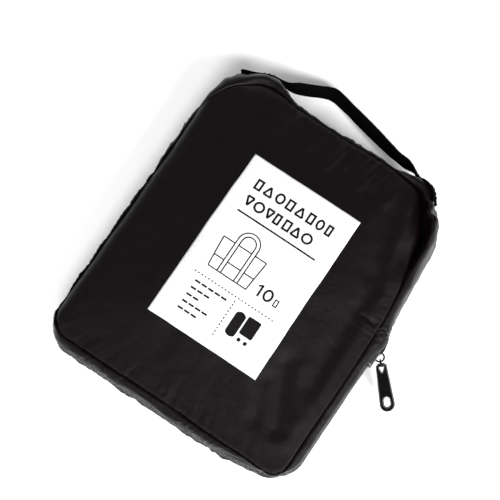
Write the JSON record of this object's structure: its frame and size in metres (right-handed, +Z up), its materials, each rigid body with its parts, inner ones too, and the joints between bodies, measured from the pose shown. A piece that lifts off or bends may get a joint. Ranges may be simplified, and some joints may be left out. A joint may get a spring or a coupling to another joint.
{
  "type": "foldable tote bag",
  "caption": "Foldable tote bag packed in its own zip-round pouch: crowned front panel with sewn label, bowed gusset, coil zipper with pull tab and a tape handle loop.",
  "frame": {"origin": "centre of the resting face, under the middle of the pouch's seam outline", "axes": "+Z up through the front panel and its label, +Y towards the handle, +X towards the side with the slider"},
  "size_m": [0.1693, 0.1924, 0.034],
  "materials": {
    "nylon_shell": "matt-satin ripstop nylon",
    "tote_nylon": "thin ripstop nylon, folded",
    "tote_webbing": "woven webbing",
    "binding_tape": "woven binding tape",
    "zipper_tape": "herringbone woven tape",
    "zipper_coil": "nylon coil, slight sheen",
    "stop_metal": "black painted crimp",
    "black_thread": "polyester thread",
    "white_thread": "polyester thread",
    "label_cloth": "smooth white coated cloth",
    "label_ink": "printed black ink",
    "strap_tape": "soft matt woven tape",
    "slider_metal": "black nickel gloss",
    "pull_enamel": "gloss black enamel"
  },
  "bodies": {
    "pouch": {"back_panel": "nylon_shell", "front_panel": "nylon_shell", "upper_gusset": "nylon_shell", "zip_gusset_front": "nylon_shell", "zip_gusset_back": "nylon_shell", "front_seam_binding": "binding_tape", "back_seam_binding": "binding_tape", "zipper_tape_front": "zipper_tape", "zipper_tape_back": "zipper_tape", "zipper_coil_front": "zipper_coil", "zipper_coil_back": "zipper_coil", "zipper_top_stops": "stop_metal", "zipper_bottom_stop": "stop_metal", "joint_stitching_right": "black_thread", "joint_stitching_left": "black_thread", "label": "label_cloth", "label_stitching": "white_thread", "label_print": "label_ink", "handle_end_left": "strap_tape", "handle_end_right": "strap_tape", "handle_tack_left": "black_thread", "handle_tack_right": "black_thread", "tote_back_panel": "tote_nylon", "tote_front_panel": "tote_nylon", "tote_gusset": "tote_nylon", "tote_handle_front": "tote_webbing", "tote_handle_rear": "tote_webbing", "tote_hem_binding": "binding_tape"},
    "handle": {"handle_strap": "strap_tape"},
    "slider": {"slider_body": "slider_metal", "slider_bail": "slider_metal"},
    "pull_link": {"pull_link": "slider_metal"},
    "pull_tab": {"pull_tab": "pull_enamel"}
  },
  "joints": [
    {"name": "handle_swing", "type": "hinge", "parent": "pouch", "child": "handle", "pos_m": [0, 0.0895, 0.015], "axis": [1, 0, 0], "range_deg": [-54, 126]},
    {"name": "zip_slide", "type": "slide", "parent": "pouch", "child": "slider", "axis": [0, -1, 0], "range_m": [0, 0.06]},
    {"name": "pull_swing", "type": "hinge", "parent": "slider", "child": "pull_link", "pos_m": [0.0759, 0.0005, 0.015], "axis": [0, 0, 1], "range_deg": [-14, 106]},
    {"name": "pull_tilt", "type": "hinge", "parent": "pull_link", "child": "pull_tab", "pos_m": [0.07837, -0.00205, 0.015], "axis": [-0.7193, -0.6947, 0], "range_deg": [-48, 92]}
  ]
}
